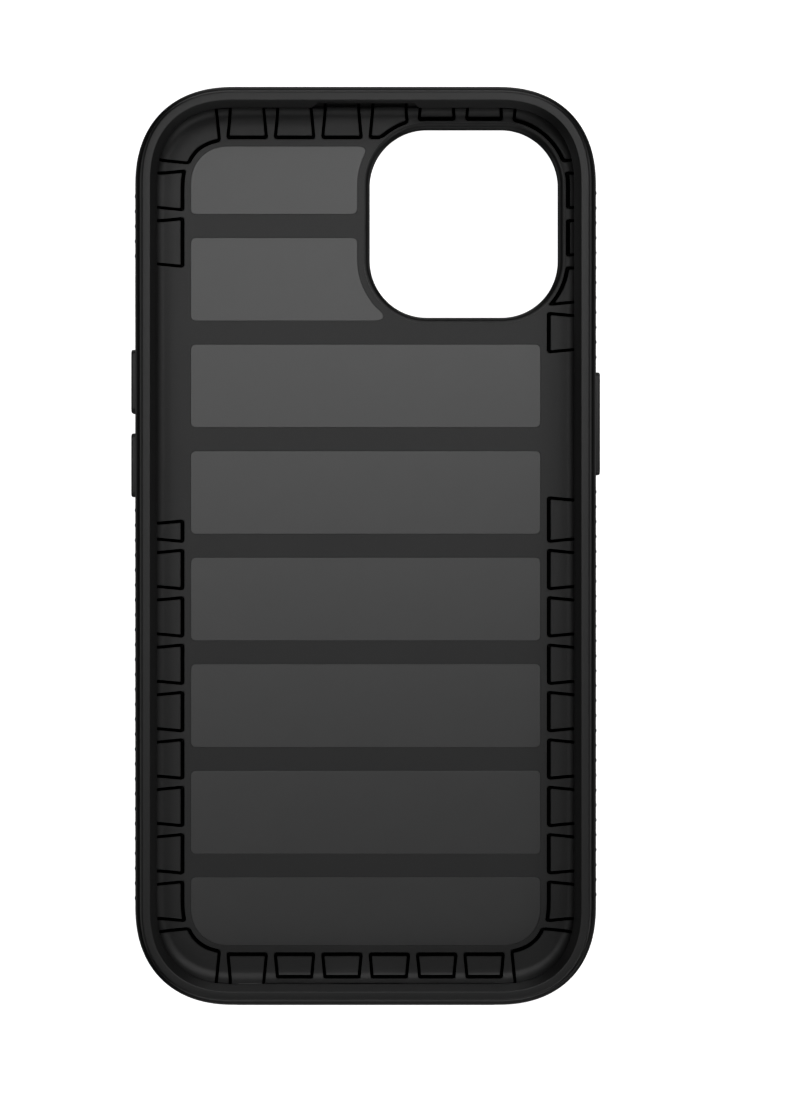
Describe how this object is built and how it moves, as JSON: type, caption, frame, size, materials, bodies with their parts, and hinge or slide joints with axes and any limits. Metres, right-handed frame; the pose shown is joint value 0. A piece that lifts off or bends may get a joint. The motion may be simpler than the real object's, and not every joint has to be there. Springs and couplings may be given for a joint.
{
  "type": "phone case",
  "caption": "Two-layer protective phone case with a raised lip, perimeter air cells, ridged side grips, an open camera window and keys that press.",
  "frame": {"origin": "centre of the case's footprint, on the surface that its back lies on", "axes": "+Z out of the open side where the phone goes in, +Y towards the camera end, +X across the case"},
  "size_m": [0.0778, 0.1522, 0.012],
  "materials": {
    "shell": "black polycarbonate, fine satin moulding texture",
    "liner": "dark grey thermoplastic rubber, soft satin",
    "rim": "dark grey thermoplastic rubber, smooth satin",
    "ring": "black polycarbonate, smooth satin",
    "panel": "mid grey smooth matt inlay",
    "key": "black polycarbonate, satin",
    "grip": "black soft-touch rubber, matt"
  },
  "bodies": {
    "case": {"outer_shell": "shell", "inner_liner": "liner", "bezel_rim": "rim", "camera_ring": "ring", "switch_surround": "liner", "port_surround": "liner", "inner_panel_1": "panel", "inner_panel_2": "panel", "inner_panel_3": "panel", "inner_panel_4": "panel", "inner_panel_5": "panel", "inner_panel_6": "panel", "inner_panel_7": "panel", "inner_panel_8": "panel", "grip_left_upper": "grip", "grip_left_lower": "grip", "grip_right_upper": "grip", "grip_right_lower": "grip"},
    "volume_up": {"volume_up_button": "key"},
    "volume_down": {"volume_down_button": "key"},
    "side_key": {"side_button": "key"}
  },
  "joints": [
    {"name": "volume_up_press", "type": "slide", "parent": "case", "child": "volume_up", "axis": [1, 0, 0], "range_m": [0, 0.0004], "stiffness_N_per_m": 2500},
    {"name": "volume_down_press", "type": "slide", "parent": "case", "child": "volume_down", "axis": [1, 0, 0], "range_m": [0, 0.0004], "stiffness_N_per_m": 2500},
    {"name": "side_key_press", "type": "slide", "parent": "case", "child": "side_key", "axis": [-1, 0, 0], "range_m": [0, 0.0004], "stiffness_N_per_m": 2500}
  ]
}
